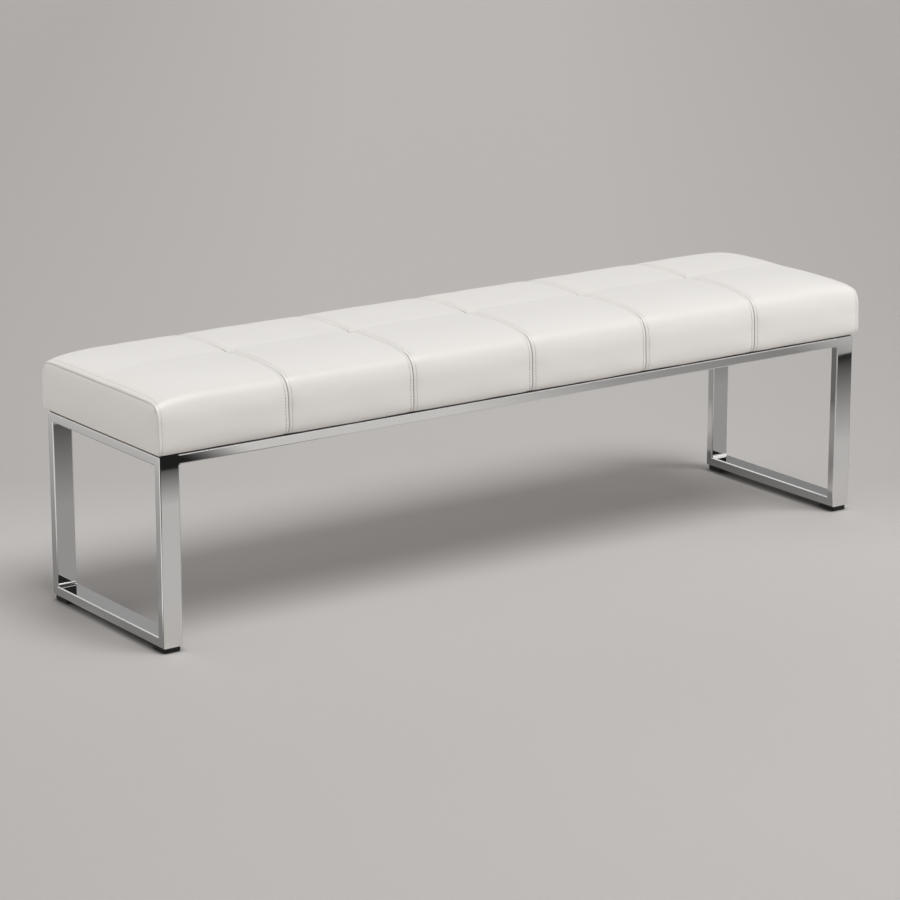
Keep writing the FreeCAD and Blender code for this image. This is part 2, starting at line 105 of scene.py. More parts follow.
# How the cover swells and is sewn
SWELL_ROOM = 2.0
SWELL_LENGTH = 11.0
SWELL_CAP = 3.4
CROSS_STITCH = 6.5
END_STITCH = 6.5
STITCH_PITCH = 5.6
STITCH_LENGTH = 3.6
THREAD_RADIUS = 0.5
# sizes of the dark discs that paint the shade of the needle holes
HOLE_SIZE = (1.1, 0.75)
HOLE_LIFT = 0.15
CROSS_HOLES = (0.6, 1.0)
END_HOLES = 0.6
CENTRE_FILL = 0.75
SIM_STEP = 6.0
SIM_FRAMES = 20
SIM_PRESSURE = 4.0

# A stitch from end to end: place along its half length, lift and thickness in thread radii
STITCH_PATH = [(-1.0, -0.9, 0.55), (-0.86, -0.1, 0.85), (-0.5, 0.22, 1.0), (0.0, 0.3, 1.0),
               (0.5, 0.22, 1.0), (0.86, -0.1, 0.85), (1.0, -0.9, 0.55)]

# Relief of the sewn edges, as depth and width
CENTRE_GROOVE, CENTRE_VALLEY = (0.6, 0.9), (0.2, 7.0)
CROSS_GROOVE, CROSS_VALLEY, CROSS_ROW = (0.9, 0.8), (0.35, 8.0), (0.2, 2.0)
CROSSING_DIP = (1.0, 15.0)
END_GROOVE, END_RIDGE, END_ROW = (0.35, 0.7), (0.2, 1.0), (0.15, 2.0)
END_RIDGE_PLACE = 1.7
RIM_GROOVE, RIM_VALLEY = (0.35, 0.8), (0.1, 6.0)
CREASE = (0.7, 1.4)
CREASE_PLACE = 0.58

# Painted shade in the grooves and along the end panels' foot, as strength and width; the cross seams' rises
# from the top down the side
SEAM_SHADE = 0.76
CENTRE_SHADE, END_SHADE, RIM_SHADE = (0.2, 0.7), (0.2, 0.6), (0.2, 0.7)
CROSS_SHADES, CROSS_SHADE_WIDTH = (0.26, 0.54), 0.7
SHADE_START, SHADE_RUN = 155.0, 50.0
FOOT_SHADE_WIDTH = 2.0

# Puckers beside the seams and loose waves between them
PUCKER_LENGTHS, LOOSE_LENGTHS = (9.0, 30.0), (50.0, 150.0)
PANEL_PUCKER, RIM_PUCKER = 0.14, 0.12
PANEL_LOOSE, RIM_LOOSE = 0.16, 0.2
PUCKER_PLACE, END_PUCKER_PLACE, PUCKER_WIDTH = 9.0, 10.0, 6.0
SEAM_REACH = 18.0

# Steps of the sheets' grids: fine ones beside the seams, and those between along and down a panel
EDGE_STEPS = [0, 0.5, 1.1, 1.9, 2.9, 4.4, 6.6, 9.8, 14, 19.5]
CROSS_STEPS = [0, 0.5, 1.1, 1.9, 2.9, 4.2, 5.3, CROSS_STITCH, 7.7, 9.5, 12, 15.5, 20, 26]
END_STEPS = [0, 0.5, 1.1, 1.7, 2.3, 3.0, 4.0, 5.2, END_STITCH, 8.0, 9.8, 12, 15.5, 20, 26]
CREASE_STEPS = [-4.8, -2.4, -1.2, 0, 1.2, 2.4, 4.8]
FOOT_STEPS = [0, 2, 4.5, 8]
PANEL_STEP = (7.0, 4.2)
END_PANEL_STEP = (6.0, 5.0)

# Studio, in metres: feet of the loops, camera
LEFT_LEG, RIGHT_LEG = (-0.73, -0.19), (0.73, -0.19)
LEFT_SIDE, RIGHT_SIDE = (-0.75, -0.19), (0.71, 0.0)
FLOOR_REACH = 60.0
EYE, AIM = (-3.4740, -4.8646, 1.8192), (-0.0392, 0.0, 0.1983)
LENS, SENSOR = 137.62, 36.0


# Curves and grids
def mix(low, high, share):
    return low + (high - low) * share


def smooth_step(share):
    share = np.clip(share, 0.0, 1.0)
    return share * share * (3 - 2 * share)


def bell(distance, width):
    return np.exp(-((distance / width) ** 2))


def groove(distance, size):
    depth, width = size
    return depth * bell(distance, width)


def spline_basis(knots, where):
    """Weights of the knots' values at each place, for a natural cubic spline."""
    count = len(knots)
    gaps = np.diff(knots)
    left, right = np.eye(count), np.zeros((count, count))
    for k in range(1, count - 1):
        left[k, k - 1:k + 2] = gaps[k - 1], 2 * (gaps[k - 1] + gaps[k]), gaps[k]
        right[k, k - 1:k + 2] = 6 / gaps[k - 1], -6 / gaps[k - 1] - 6 / gaps[k], 6 / gaps[k]
    bend = np.linalg.solve(left, right)
    span = np.clip(np.searchsorted(knots, where, side="right") - 1, 0, count - 2)
    gap = gaps[span][:, None]
    before = (knots[span + 1] - where)[:, None]
    after = (where - knots[span])[:, None]
    unit = np.eye(count)
    return (
        (bend[span] * before**3 + bend[span + 1] * after**3) / (6 * gap)
        + (unit[span] / gap - bend[span] * gap / 6) * before
        + (unit[span + 1] / gap - bend[span + 1] * gap / 6) * after
    )


def graded(length, start_steps, end_steps, step):
    """Places along a length: fine steps at each end and even ones between."""
    first, last = np.asarray(start_steps), length - np.asarray(end_steps)[::-1]
    count = max(1, round((last[0] - first[-1]) / step))
    return np.concatenate([first, np.linspace(first[-1], last[0], count + 1)[1:-1], last])


def grid_normals(points, outward):
    """Unit normals of a grid of points, turned to the side that outward points to."""
    normals = np.cross(np.gradient(points, axis=0), np.gradient(points, axis=1))
    normals /= np.maximum(np.linalg.norm(normals, axis=2, keepdims=True), 1e-9)
    middle = normals[normals.shape[0] // 2, normals.shape[1] // 2]
    return normals if middle @ np.asarray(outward) > 0 else -normals


def grid_faces(rows, columns, start=0):
    index = start + np.arange(rows * columns).reshape(rows, columns)
    corners = [index[:-1, :-1], index[1:, :-1], index[1:, 1:], index[:-1, 1:]]
    return np.stack(corners, axis=-1).reshape(-1, 4)


def make_mesh(name, points, faces):
    mesh = bpy.data.meshes.new(name)
    mesh.from_pydata((points.reshape(-1, 3) * MM).tolist(), [], [list(map(int, face)) for face in faces])
    mesh.update()
    mesh.shade_smooth()
    item = bpy.data.objects.new(name, mesh)
    bpy.context.scene.collection.objects.link(item)
    return item


def turned_out(points, faces, normals):
    """The faces, in the order that makes them face the same way as the normals."""
    flat = points.reshape(-1, 3)
    middle = faces[len(faces) // 2]
    facing = np.cross(flat[middle[1]] - flat[middle[0]], flat[middle[3]] - flat[middle[0]])
    return faces if facing @ normals.reshape(-1, 3)[middle[0]] > 0 else faces[:, ::-1]


# The cover's form: sections across the bench
def section_controls(away, swell):
    """Points of half a section from the centre seam to the fold, for each distance from the end seam."""
    fallen = np.sqrt(1 - np.maximum(0.0, 1 - away / END_FALL_LENGTH) ** 2)
    corner = 1 - np.sqrt(1 - np.maximum(0.0, 1 - away / END_CORNER_RADIUS) ** 2)
    curve = mix(END_CROWN_SHARE, 1.0, fallen)
    inset = mix(END_SHOULDER_INSET, SHOULDER_INSET, fallen)
    drop = mix(END_EDGE_DROP, EDGE_DROP, fallen)
    half = HALF_DEPTH - SEAM_PULL * (1 - swell) - END_CORNER_RADIUS * corner
    peak = CROWN_TOP - SWELL_ROOM - END_FALL * (1 - fallen) - (SEAM_DIP - SWELL_ROOM) * (1 - swell)
    valley = CENTRE_DIP * curve * mix(1.0, 0.35, swell)
    level = np.zeros_like(away)
    hem = FRAME_TOP + HEM_HEIGHT
    slant = math.sqrt(0.5)
    shoulder, shoulder_top = half - inset, peak - SHOULDER_DROP * curve
    edge, edge_top = half - SIDE_LEAN, peak - drop
    controls = [
        (level, peak - valley),
        (level + CROWN_OFFSET / 2, peak - valley / 4),
        (level + CROWN_OFFSET, peak),
        (mix(CROWN_OFFSET, shoulder, 0.5), peak - SHOULDER_DROP * curve / 4),
        (shoulder, shoulder_top),
        (mix(shoulder, edge, slant), mix(edge_top, shoulder_top, slant)),
        (edge, edge_top),
        (mix(edge, half, 0.5), mix(edge_top, hem, 0.5)),
        (half, level + hem),
        (half - HEM_TUCK * (1 - slant), mix(hem, FOLD_BOTTOM, slant) + level),
        (half - HEM_TUCK, level + FOLD_BOTTOM),
        (mix(half - HEM_TUCK, FOLD_END, 0.5), level + FOLD_BOTTOM),
        (level + FOLD_END, level + FOLD_BOTTOM),
    ]
    return np.stack([np.stack(point, axis=-1) for point in controls], axis=-2)


def end_tuck(height):
    """How far the foot of an end is drawn in under the seat."""
    return END_TUCK * (1 - smooth_step((height - FOLD_BOTTOM) / END_TUCK_HEIGHT))


def chord_knots(points):
    return np.concatenate([[0.0], np.cumsum(np.linalg.norm(np.diff(points, axis=0), axis=1))])


SECTION_KNOTS = chord_knots(section_controls(np.array([END_SEAM]), np.array([1.0]))[0])
CORNER_MIDDLE, TUCK = SECTION_KNOTS[5], SECTION_KNOTS[10]
SECTION_LENGTH = SECTION_KNOTS[-1]


def seam_waves(along, amplitude, shortest, longest, count=7):
    """Uneven puckers along a seam."""
    lengths = random.uniform(shortest, longest, count)
    turns = random.uniform(0, 2 * math.pi, count)
    waves = [np.sin(2 * math.pi * along / length + turn) for length, turn in zip(lengths, turns)]
    return amplitude * np.sum(waves, axis=0) / math.sqrt(count)


class Panel:
    """One top panel: u runs along the bench from its left seam, v from the centre seam down to the fold."""

    def __init__(self, row, column):
        self.name = f"leather_{row}_{column + 1}"
        self.node = f"{row}_panel_{column + 1}"
        self.side = -1 if row == "front" else 1
        self.outward = (0, 0, 1)
        self.left = -END_SEAM + column * PANEL_LENGTH
        self.first, self.last = column == 0, column == COLUMNS - 1
        starts, ends = (END_STEPS if at_end else CROSS_STEPS for at_end in (self.first, self.last))
        self.u = graded(PANEL_LENGTH, starts, ends, PANEL_STEP[0])
        self.v = graded(SECTION_LENGTH, EDGE_STEPS, [0], PANEL_STEP[1])
        self.sim_u = np.linspace(0, PANEL_LENGTH, round(PANEL_LENGTH / SIM_STEP) + 1)
        self.sim_v = np.linspace(0, SECTION_LENGTH, round(SECTION_LENGTH / SIM_STEP) + 1)

    def form(self, u, v):
        x = self.left + u
        swell = np.ones_like(x)
        if not self.first:
            swell = swell * (1 - np.exp(-u / SWELL_LENGTH))
        if not self.last:
            swell = swell * (1 - np.exp(-(PANEL_LENGTH - u) / SWELL_LENGTH))
        controls = section_controls(END_SEAM - np.abs(x), swell)
        places = np.einsum("vk,ukc->uvc", spline_basis(SECTION_KNOTS, v), controls)
        tucked = end_tuck(places[..., 1]) * np.exp(-(END_SEAM - np.abs(x)) / END_TUCK_SPREAD)[:, None]
        return np.stack([x[:, None] - np.sign(x)[:, None] * tucked,
                         self.side * places[..., 0], places[..., 1]], axis=-1)

    def held(self):
        """Where the simulated sheet is held: at its seams, and from the hem on under the board."""
        u, v = np.meshgrid(self.sim_u, self.sim_v, indexing="ij")
        return (u == 0) | (u == self.sim_u[-1]) | (v == 0) | (v > TUCK - SIM_STEP)

    def seam_relief(self):
        """How deep the seams draw the leather in, and how much shade is painted in their grooves."""
        u, v = np.meshgrid(self.u, self.v, indexing="ij")
        away = END_SEAM - np.abs(self.left + u)
        drawn = smooth_step(away / END_FALL_LENGTH)
        depth = drawn * (groove(v, CENTRE_GROOVE) + groove(v, CENTRE_VALLEY))
        dark = drawn * groove(v, CENTRE_SHADE)
        for distance, is_end in ((u, self.first), (PANEL_LENGTH - u, self.last)):
            pucker = seam_waves(self.v, PANEL_PUCKER, *PUCKER_LENGTHS)[None, :]
            if is_end:
                depth = depth + groove(distance, END_GROOVE) - groove(distance - END_RIDGE_PLACE, END_RIDGE)
                depth = depth + groove(distance - END_STITCH, END_ROW)
                depth = depth + pucker * bell(distance - END_PUCKER_PLACE, PUCKER_WIDTH)
                dark = dark + groove(distance, END_SHADE)
            else:
                depth = depth + groove(distance, CROSS_GROOVE) + groove(distance, CROSS_VALLEY)
                depth = depth + groove(distance - CROSS_STITCH, CROSS_ROW)
                depth = depth + pucker * bell(distance - PUCKER_PLACE, PUCKER_WIDTH)
                depth = depth + groove(np.hypot(distance, v), CROSSING_DIP)
                # painted shade in the cross seams' grooves, weaker on the top and stronger down the side
                shade = mix(*CROSS_SHADES, smooth_step((v - SHADE_START) / SHADE_RUN))
                dark = dark + shade * bell(distance, CROSS_SHADE_WIDTH)
        inside = 1 - bell(np.minimum(np.minimum(u, PANEL_LENGTH - u), v), SEAM_REACH)
        loose = seam_waves(u + 0.6 * v, PANEL_LOOSE, *LOOSE_LENGTHS)
        loose = loose + seam_waves(v - 0.4 * u, PANEL_LOOSE, *LOOSE_LENGTHS)
        return depth - loose * inside, np.clip(SEAM_SHADE * dark, 0, 1)


class EndPanel:
    """The panel that closes an end: u runs from front to back and v up, both as shares."""

    def __init__(self, label, side):
        self.name = f"leather_{label}_end"
        self.node = f"{label}_end_panel"
        self.side = side
        self.outward = (side, 0, 0)
        self.width, self.height = END_PANEL_SIZE
        edge, foot = np.array(EDGE_STEPS), np.array(FOOT_STEPS)
        crease = CREASE_PLACE + np.array(CREASE_STEPS) / self.width
        across = graded(1.0, edge / self.width, edge / self.width, END_PANEL_STEP[0] / self.width)
        self.u = np.union1d(across, crease)
        self.v = graded(1.0, foot / self.height, edge / self.height, END_PANEL_STEP[1] / self.height)
        self.sim_u = np.linspace(0, 1, round(self.width / SIM_STEP) + 1)
        self.sim_v = np.linspace(0, 1, round(self.height / SIM_STEP) + 1)

    def rim(self, places):
        """Points of the cover's outline at the end seam, by place along the half section."""
        controls = section_controls(np.array([0.0]), np.array([1.0]))[0]
        return spline_basis(SECTION_KNOTS, places) @ controls

    def form(self, u, v):
        flip = np.array([-1.0, 1.0])
        across = np.abs(2 * u - 1) * CORNER_MIDDLE
        top = self.rim(across) * np.where(u < 0.5, -1.0, 1.0)[:, None] ** np.array([1, 0])
        right = self.rim(mix(TUCK, CORNER_MIDDLE, v))
        left = right * flip
        foot = self.rim(np.array([TUCK]))[0]
        bottom = np.stack([mix(-foot[0], foot[0], u), np.full_like(u, foot[1])], axis=-1)
        u2, v2 = u[:, None, None], v[None, :, None]
        corners = (
            (1 - u2) * (1 - v2) * bottom[0] + u2 * (1 - v2) * bottom[-1]
            + (1 - u2) * v2 * top[0] + u2 * v2 * top[-1]
        )
        places = (
            (1 - v2) * bottom[:, None] + v2 * top[:, None]
            + (1 - u2) * left[None] + u2 * right[None] - corners
        )
        bulge = END_BULGE * (1 - (1 - np.clip(self.from_rim(u, v) / END_FIELD_INSET, 0, 1)) ** 2)
        x = self.side * (END_SEAM + bulge - end_tuck(places[..., 1]))
        return np.concatenate([x[..., None], places], axis=-1)

    def from_rim(self, u, v):
        """Distance from the nearest edge."""
        across = np.minimum(u, 1 - u)[:, None] * self.width
        along = np.minimum(v, 1 - v)[None, :] * self.height
        return np.minimum(across, along)

    def held(self):
        """Where the simulated sheet is held: all along its edge."""
        return self.from_rim(self.sim_u, self.sim_v) < 1e-6

    def seam_relief(self):
        """How deep the seam draws the leather in, and how much shade is painted in its groove and as a shadow
        line along the panel's foot.
        """
        below = np.minimum(np.minimum(self.u, 1 - self.u)[:, None] * self.width,
                           (1 - self.v)[None, :] * self.height)
        pucker = seam_waves(self.u * self.width, RIM_PUCKER, *PUCKER_LENGTHS)[:, None]
        depth = groove(below, RIM_GROOVE) + groove(below, RIM_VALLEY)
        depth = depth + pucker * bell(below - PUCKER_PLACE, PUCKER_WIDTH)
        inside = 1 - bell(self.from_rim(self.u, self.v), SEAM_REACH)
        loose = seam_waves(self.u * self.width, RIM_LOOSE, *LOOSE_LENGTHS)[:, None] * inside
        crease = groove((self.u[:, None] - CREASE_PLACE) * self.width, CREASE) * inside
        # painted shadow line along the foot of the end panel, under the seat's edge
        foot = bell(self.v[None, :] * self.height, FOOT_SHADE_WIDTH)
        return depth + crease - loose, np.clip(SEAM_SHADE * groove(below, RIM_SHADE) + foot, 0, 1)


# Swelling of the padded sheets
def swell(sheets):
    """Air pressure lifts every sheet between its seams; gives each sheet's rise on its coarse grid."""
    starts = [sheet.form(sheet.sim_u, sheet.sim_v) for sheet in sheets]
    normals = [grid_normals(points, sheet.outward) for sheet, points in zip(sheets, starts)]
    faces, held, offset = [], [], 0
    for sheet, points, normal in zip(sheets, starts, normals):
        rows, columns = points.shape[:2]
        faces.append(turned_out(points, grid_faces(rows, columns), normal) + offset)
        held += (offset + np.flatnonzero(sheet.held().ravel())).tolist()
        offset += rows * columns
    every = np.concatenate([points.reshape(-1, 3) for points in starts])
    item = make_mesh("swelling_sheets", every, np.concatenate(faces))
    group = item.vertex_groups.new(name="seams")
    group.add(held, 1.0, "REPLACE")
    cloth = item.modifiers.new("swelling", "CLOTH")
    cloth.point_cache.frame_start, cloth.point_cache.frame_end = 1, SIM_FRAMES
    settings = cloth.settings
    settings.quality = 5
    settings.mass = 0.3
    settings.tension_stiffness = settings.compression_stiffness = 40.0
    settings.shear_stiffness = 20.0
    settings.bending_stiffness = 6.0
    settings.effector_weights.gravity = 0.0
    settings.use_pressure = True
    settings.uniform_pressure_force = SIM_PRESSURE
    settings.vertex_group_mass = group.name
    scene = bpy.context.scene
    for step in range(1, SIM_FRAMES + 1):
        scene.frame_set(step)
    swollen = item.evaluated_get(bpy.context.evaluated_depsgraph_get()).data
    moved = np.empty(len(every) * 3, np.float32)
    swollen.vertices.foreach_get("co", moved)
    moved = moved.reshape(-1, 3).astype(float) / MM
    bpy.data.objects.remove(item)
    scene.frame_set(1)
    rises, offset = [], 0
    for sheet, points, normal in zip(sheets, starts, normals):
        count = points.shape[0] * points.shape[1]
        shift = moved[offset:offset + count].reshape(points.shape) - points
        rise = np.sum(shift * normal, axis=2)
        rises.append(SWELL_CAP * np.tanh(random.uniform(0.85, 1.15) * np.maximum(rise, 0) / SWELL_CAP))
        offset += count
    return rises


def fill_centre(panels, rises):
    """Padding that carries the swelling across the centre seam, so that only the crossings dip."""
    for column in range(COLUMNS):
        front, rear = column, COLUMNS + column
        across = panels[front].sim_v
        middle = int(np.argmin(np.abs(across - CROWN_OFFSET)))
        level = (rises[front][:, middle] + rises[rear][:, middle]) / 2
        for k in (front, rear):
            rises[k] = rises[k] + CENTRE_FILL * level[:, None] * bell(across, 0.5 * CROWN_OFFSET)


def sewn_sheet(sheet, rise):
    """The finished outside of one sheet: its form, swollen, with the seams drawn in."""
    points = sheet.form(sheet.u, sheet.v)
    normals = grid_normals(points, sheet.outward)
    lifted = spline_basis(sheet.sim_u, sheet.u) @ rise @ spline_basis(sheet.sim_v, sheet.v).T
    depth, dark = sheet.seam_relief()
    points = points + normals * (lifted - depth)[..., None]
    return points, grid_normals(points, sheet.outward), dark


# Threads
def line_frames(points, normals, places):
    """Spots on a line of the leather, with the directions ahead, up and across there."""
    run = chord_knots(points)
    spots, ups, ahead = (
        np.stack([np.interp(places + shift, run, values[:, k]) for k in range(3)], axis=-1)
        for values, shift in ((points, 0), (normals, 0), (points, 1))
    )
    ahead = ahead - spots
    ahead /= np.linalg.norm(ahead, axis=1, keepdims=True)
    ups -= ahead * np.sum(ups * ahead, axis=1, keepdims=True)
    ups /= np.linalg.norm(ups, axis=1, keepdims=True)
    return spots, ahead, ups, np.cross(ahead, ups)


def stitch_row(points, normals, stop, opened):
    """Stitches along a line, each dipping into its needle holes at both ends, and the holes between them,
    drawn as dark discs that paint the holes' shade.

    The holes are drawn open on the sides of the seat and nearly shut on top."""
    centres = np.arange(STITCH_PITCH, chord_knots(points)[stop], STITCH_PITCH)
    spots, ahead, ups, across = (part[:, None, None] for part in line_frames(points, normals, centres))
    path = np.array(STITCH_PATH)
    along, lift, radius = (path[None, :, None, k:k + 1] for k in range(3))
    along = along * STITCH_LENGTH / 2
    turns = np.linspace(0, 2 * math.pi, 6, endpoint=False)[None, None, :, None]
    tilt = random.normal(0, 0.05, len(centres))[:, None, None, None]
    up = (lift + np.sin(turns) * radius) * THREAD_RADIUS
    side = np.cos(turns) * radius * THREAD_RADIUS + tilt * along
    threads = spots + ahead * along + ups * up + across * side

    middles = centres + STITCH_PITCH / 2
    spots, ahead, ups, across = (part[:, None] for part in line_frames(points, normals, middles))
    turns = np.linspace(0, 2 * math.pi, 8, endpoint=False)[None, :, None]
    size = opened * mix(1.0, 0.35, smooth_step(1.4 * ups[..., 2:]))
    rim = ahead * np.cos(turns) * HOLE_SIZE[0] + across * np.sin(turns) * HOLE_SIZE[1]
    return threads, spots + size * rim + ups * HOLE_LIFT


def thread_mesh(name, rows):
    threads = np.concatenate([row[0] for row in rows])
    holes = np.concatenate([row[1] for row in rows])
    index = np.arange(threads[..., 0].size).reshape(threads.shape[:3])
    near, far = index[:, :-1], index[:, 1:]
    walls = np.stack([near, np.roll(near, -1, 2), np.roll(far, -1, 2), far], axis=-1).reshape(-1, 4)
    caps = np.concatenate([index[:, 0, ::-1], index[:, -1]])
    rims = index.size + np.arange(holes[..., 0].size).reshape(holes.shape[:2])
    points = np.concatenate([threads.reshape(-1, 3), holes.reshape(-1, 3)])
    item = make_mesh(name, points, walls.tolist() + caps.tolist() + rims.tolist())
    # the rims are dark discs of painted shade for the needle holes
    shades = np.zeros(len(item.data.polygons), np.int32)
    shades[-len(rims):] = 1
    item.data.polygons.foreach_set("material_index", shades)
    return item


# Materials
def new_material(name, colour, roughness, metallic=0.0):
    material = bpy.data.materials.new(name)
    material.use_nodes = True
    shader = material.node_tree.nodes["Principled BSDF"]
    shader.inputs["Base Color"].default_value = (*colour, 1)
    shader.inputs["Roughness"].default_value = roughness
    shader.inputs["Metallic"].default_value = metallic
    return material, shader


def add_node(material, kind, **values):
    """A node with its settings and its inputs' values; an input may be another node's output."""
    node = material.node_tree.nodes.new(kind)
    for key, value in values.items():
        if hasattr(node, key):
            setattr(node, key, value)
        else:
            plug(material, node.inputs[key.replace("_", " ").title()], value)
    return node


def plug(material, socket, value):
    if isinstance(value, bpy.types.NodeSocket):
        material.node_tree.links.new(value, socket)
    else:
        socket.default_value = value


def places(material):
    return add_node(material, "ShaderNodeTexCoord").outputs["Object"]


def noise(material, where, scale, detail=3.0):
    return add_node(material, "ShaderNodeTexNoise", vector=where, scale=scale, detail=detail).outputs["Fac"]


def ranged(material, value, low, high, from_low=0.3, from_high=0.7):
    node = add_node(material, "ShaderNodeMapRange")
    for key, entry in (("Value", value), ("From Min", from_low), ("From Max", from_high),
                       ("To Min", low), ("To Max", high)):
        plug(material, node.inputs[key], entry)
    return node.outputs["Result"]


def blend_colours(material, share, first, second):
    node = add_node(material, "ShaderNodeMix", data_type="RGBA")
    plug(material, node.inputs["Factor"], share)
    for socket, value in ((node.inputs[6], first), (node.inputs[7], second)):
        plug(material, socket, value if isinstance(value, bpy.types.NodeSocket) else (*value, 1))
    return node.outputs[2]


def bumped(material, height, strength, distance, under=None):
    node = add_node(material, "ShaderNodeBump")
    plug(material, node.inputs["Height"], height)
    plug(material, node.inputs["Strength"], strength)
    plug(material, node.inputs["Distance"], distance)
    if under is not None:
        plug(material, node.inputs["Normal"], under)
    return node.outputs["Normal"]


def leather_material():
    material, shader = new_material("white_leather", (0.8, 0.78, 0.75), 0.42)
    where = places(material)
    cloud = noise(material, where, 14.0)
    tone = blend_colours(material, cloud, (0.832, 0.806, 0.772), (0.857, 0.832, 0.802))
    # the seam attribute carries painted shade: grooves and the end panels' foot are mixed toward near black
    seam = add_node(material, "ShaderNodeAttribute", attribute_name="seam").outputs["Fac"]
    tone = blend_colours(material, seam, tone, (0.12, 0.11, 0.10))
    plug(material, shader.inputs["Base Color"], tone)
    plug(material, shader.inputs["Roughness"], ranged(material, noise(material, where, 60.0), 0.33, 0.43))
    shader.inputs["Specular IOR Level"].default_value = 0.65
    cells = add_node(material, "ShaderNodeTexVoronoi", feature="DISTANCE_TO_EDGE", vector=where, scale=750.0)
    grain = bumped(material, cells.outputs["Distance"], 0.12, 0.0004)
    grain = bumped(material, noise(material, where, 260.0), 0.06, 0.0008, grain)
    plug(material, shader.inputs["Normal"], grain)
    return material


def thread_material():
    material, shader = new_material("thread", (0.6, 0.58, 0.55), 0.6)
    where = places(material)
    plug(material, shader.inputs["Base Color"],
         blend_colours(material, noise(material, where, 900.0), (0.62, 0.60, 0.57), (0.76, 0.74, 0.71)))
    twist = add_node(material, "ShaderNodeTexWave", vector=where, scale=700.0, distortion=2.0)
    plug(material, shader.inputs["Normal"], bumped(material, twist.outputs["Fac"], 0.4, 0.0002))
    return material


# Dark discs that paint the shade inside the needle holes
def hole_shade_material():
    material, shader = new_material("needle_hole_shade", (0.1, 0.09, 0.08), 0.8)
    cloud = noise(material, places(material), 700.0)
    plug(material, shader.inputs["Base Color"],
         blend_colours(material, cloud, (0.07, 0.065, 0.06), (0.16, 0.15, 0.135)))
    return material


def chrome_material():
    material, shader = new_material("polished_chrome", (0.86, 0.858, 0.85), 0.04, 1.0)
    where = places(material)
    haze = noise(material, where, 35.0, 6.0)
    plug(material, shader.inputs["Roughness"], ranged(material, haze, 0.012, 0.035))
    plug(material, shader.inputs["Normal"], bumped(material, noise(material, where, 9.0, 1.0), 0.02, 0.004))
    return material


def zinc_material():
    material, shader = new_material("zinc_plate", (0.6, 0.6, 0.58), 0.35, 1.0)
    where = places(material)
    plug(material, shader.inputs["Base Color"],
         blend_colours(material, noise(material, where, 120.0), (0.52, 0.52, 0.50), (0.70, 0.70, 0.67)))
    plug(material, shader.inputs["Roughness"], ranged(material, noise(material, where, 400.0), 0.28, 0.45))
    return material


def glide_material():
    material, shader = new_material("black_plastic", (0.012, 0.012, 0.012), 0.45)
    where = places(material)
    grain = noise(material, where, 1400.0)
    plug(material, shader.inputs["Base Color"],
         blend_colours(material, noise(material, where, 80.0), (0.008, 0.008, 0.008), (0.02, 0.02, 0.02)))
    plug(material, shader.inputs["Roughness"], ranged(material, grain, 0.38, 0.55))
    plug(material, shader.inputs["Normal"], bumped(material, grain, 0.2, 0.0003))
    shader.inputs["Specular IOR Level"].default_value = 0.25
    return material


def plywood_material():
    material, shader = new_material("plywood", (0.62, 0.46, 0.3), 0.6)
    where = places(material)
    stretch = add_node(material, "ShaderNodeMapping", vector=where)
    stretch.inputs["Scale"].default_value = (1.0, 14.0, 90.0)
    grain = noise(material, stretch.outputs["Vector"], 6.0, 6.0)
    plug(material, shader.inputs["Base Color"],
         blend_colours(material, grain, (0.50, 0.35, 0.21), (0.72, 0.56, 0.38)))
    plug(material, shader.inputs["Normal"], bumped(material, grain, 0.15, 0.0005))
    return material


def foam_material():
    material, shader = new_material("seat_foam", (0.82, 0.75, 0.52), 0.9)
    where = places(material)
    cells = add_node(material, "ShaderNodeTexVoronoi", vector=where, scale=600.0)
    plug(material, shader.inputs["Base Color"],
         blend_colours(material, cells.outputs["Distance"], (0.85, 0.78, 0.55), (0.66, 0.58, 0.36)))
    plug(material, shader.inputs["Normal"], bumped(material, cells.outputs["Distance"], 0.5, 0.001))
    return material


def dust_cloth_material():
    material, shader = new_material("dust_cloth", (0.02, 0.02, 0.02), 0.9)
    where = places(material)
    fibres = noise(material, where, 500.0, 8.0)
    plug(material, shader.inputs["Base Color"],
         blend_colours(material, fibres, (0.010, 0.010, 0.011), (0.045, 0.045, 0.047)))
    plug(material, shader.inputs["Normal"], bumped(material, fibres, 0.5, 0.0006))
    shader.inputs["Sheen Weight"].default_value = 0.3
    return material


# Seat
def add_piece(item, material, slot, *nodes):
    item.data.materials.append(material)
    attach(item, "root")
    if nodes:
        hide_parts(*nodes)
    return item


def thicken(item, thickness, offset=-1.0):
    solid = item.modifiers.new("thickness", "SOLIDIFY")
    solid.thickness = thickness * MM
    solid.offset = offset


def end_fold(side):
    """The strip of an end panel that is folded under the board."""
    rows, columns = 10, 40
    x = side * np.linspace(END_SEAM - END_TUCK, END_SEAM - FOLD_REACH, rows)
    y = np.linspace(-FOLD_END + FOLD_GAP, FOLD_END - FOLD_GAP, columns)
    rise = FOLD_RISE * smooth_step(np.linspace(0, 1, rows))
    grid = np.empty((rows, columns, 3))
    grid[..., 0], grid[..., 1], grid[..., 2] = x[:, None], y[None, :], FOLD_BOTTOM + rise[:, None]
    return grid


